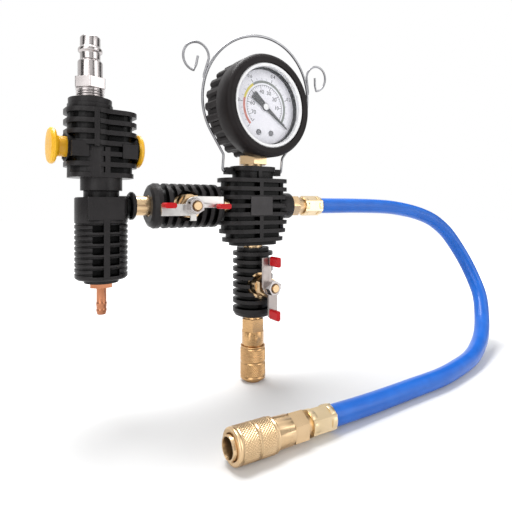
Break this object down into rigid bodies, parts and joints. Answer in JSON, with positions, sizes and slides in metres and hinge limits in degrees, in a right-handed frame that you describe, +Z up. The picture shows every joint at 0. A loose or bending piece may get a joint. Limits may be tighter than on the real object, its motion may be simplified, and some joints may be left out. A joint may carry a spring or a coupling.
{
  "type": "coolant vacuum filler",
  "caption": "Vacuum coolant filling tool: finned manifold with a boot-covered gauge and wire hanger, ball valves, an air-driven ejector and a blue hose with a quick coupler.",
  "frame": {"origin": "centre of the lower coupler's mouth", "axes": "+Z up along the filling valve and the gauge stem, +X along the manifold towards the hose, -Y towards the gauge's face and the valve levers"},
  "size_m": [0.3246, 0.0963, 0.2146],
  "materials": {
    "black_plastic": "moulded black plastic, satin, faintly grained",
    "yellow_plastic": "moulded yellow plastic, semi gloss",
    "red_vinyl": "dipped red vinyl, semi gloss",
    "zinc_plate": "zinc-plated steel, satin",
    "nickel_plate": "nickel plate, bright satin",
    "brass": "turned brass",
    "copper_tone": "turned brass with a coppery tint",
    "seal_rubber": "black seal rubber",
    "seat_plastic": "white slippery seat plastic",
    "boot_rubber": "black moulded rubber, matt",
    "case_black": "black enamel",
    "bezel_white": "moulded white plastic",
    "lens_clear": "clear window, polished",
    "dial_white": "white enamel dial",
    "hose_blue": "blue extruded hose, satin"
  },
  "bodies": {
    "manifold": {"head_body": "black_plastic", "neck_nut": "black_plastic", "ejector_body": "black_plastic", "ejector_cap": "black_plastic", "suction_sleeve": "black_plastic", "refill_sleeve": "black_plastic", "manifold_block": "black_plastic", "hose_coupler_spring": "zinc_plate", "socket_spring": "zinc_plate", "hose_coupler_balls": "zinc_plate", "socket_balls": "zinc_plate", "air_plug": "nickel_plate", "gauge_adapter": "brass", "port_nipple": "brass", "venturi_nozzle": "brass", "venturi_diffuser": "brass", "bourdon_tube": "brass", "gauge_movement": "brass", "hose_coupler_body": "brass", "socket_body": "brass", "hose_fitting": "brass", "inlet_ferrule": "brass", "outlet_ferrule": "brass", "suction_gland": "brass", "refill_gland": "brass", "suction_valve_body": "brass", "refill_valve_body": "brass", "suction_valve_end": "brass", "refill_valve_end": "brass", "exhaust_barb": "copper_tone", "suction_seats": "seat_plastic", "refill_seats": "seat_plastic", "suction_packing": "seat_plastic", "refill_packing": "seat_plastic", "gauge_boot": "boot_rubber", "gauge_case": "case_black", "gauge_bezel": "bezel_white", "gauge_lens": "lens_clear", "gauge_dial": "dial_white", "hose": "hose_blue"},
    "spool_valve": {"spool": "yellow_plastic", "spool_end_knob": "yellow_plastic", "spool_orings": "seal_rubber"},
    "suction_handle": {"suction_ball": "nickel_plate", "suction_stem": "brass", "suction_lever": "zinc_plate", "suction_grips": "red_vinyl", "suction_lever_nut": "nickel_plate"},
    "refill_handle": {"refill_ball": "nickel_plate", "refill_stem": "brass", "refill_lever": "zinc_plate", "refill_grips": "red_vinyl", "refill_lever_nut": "nickel_plate"},
    "hanger": {"hanger_wire": "zinc_plate", "hanger_hooks": "zinc_plate"},
    "pointer": {"gauge_pointer": "case_black", "pointer_arbor": "brass"},
    "sector": {"sector_gear": "brass"},
    "socket_collar": {"socket_sleeve": "brass"},
    "hose_collar": {"hose_coupler_sleeve": "brass"}
  },
  "joints": [
    {"name": "spool_slide", "type": "slide", "parent": "manifold", "child": "spool_valve", "axis": [0.9962, 0.0872, 0], "range_m": [0, 0.0045]},
    {"name": "suction_lever_turn", "type": "hinge", "parent": "manifold", "child": "suction_handle", "pos_m": [-0.048, 0, 0.1105], "axis": [0, 1, 0], "range_deg": [0, 90]},
    {"name": "refill_lever_turn", "type": "hinge", "parent": "manifold", "child": "refill_handle", "pos_m": [0, 0, 0.0615], "axis": [-0.0698, 0.9976, 0], "range_deg": [0, 90]},
    {"name": "hanger_swing", "type": "hinge", "parent": "manifold", "child": "hanger", "pos_m": [0, 0, 0.132], "axis": [1, 0, 0], "range_deg": [-45, 60]},
    {"name": "pointer_turn", "type": "hinge", "parent": "manifold", "child": "pointer", "pos_m": [0, 0, 0.171], "axis": [0.0872, -0.9962, 0], "range_deg": [0, 257], "stiffness_Nm_per_rad": 0.00005},
    {"name": "sector_turn", "type": "hinge", "parent": "manifold", "child": "sector", "pos_m": [0, 0, 0.1605], "axis": [0.0872, -0.9962, 0], "range_deg": [-43, 0]},
    {"name": "socket_collar_slide", "type": "slide", "parent": "manifold", "child": "socket_collar", "axis": [0, 0, 1], "range_m": [0, 0.003], "stiffness_N_per_m": 1200, "deforming": ["socket_spring"]},
    {"name": "hose_collar_slide", "type": "slide", "parent": "manifold", "child": "hose_collar", "axis": [0.9988, 0.0349, -0.0349], "range_m": [0, 0.003], "stiffness_N_per_m": 1200, "deforming": ["hose_coupler_spring"]}
  ],
  "couplings": [
    {"joint": "sector_turn", "follows": "pointer_turn", "ratio": -0.16667}
  ]
}
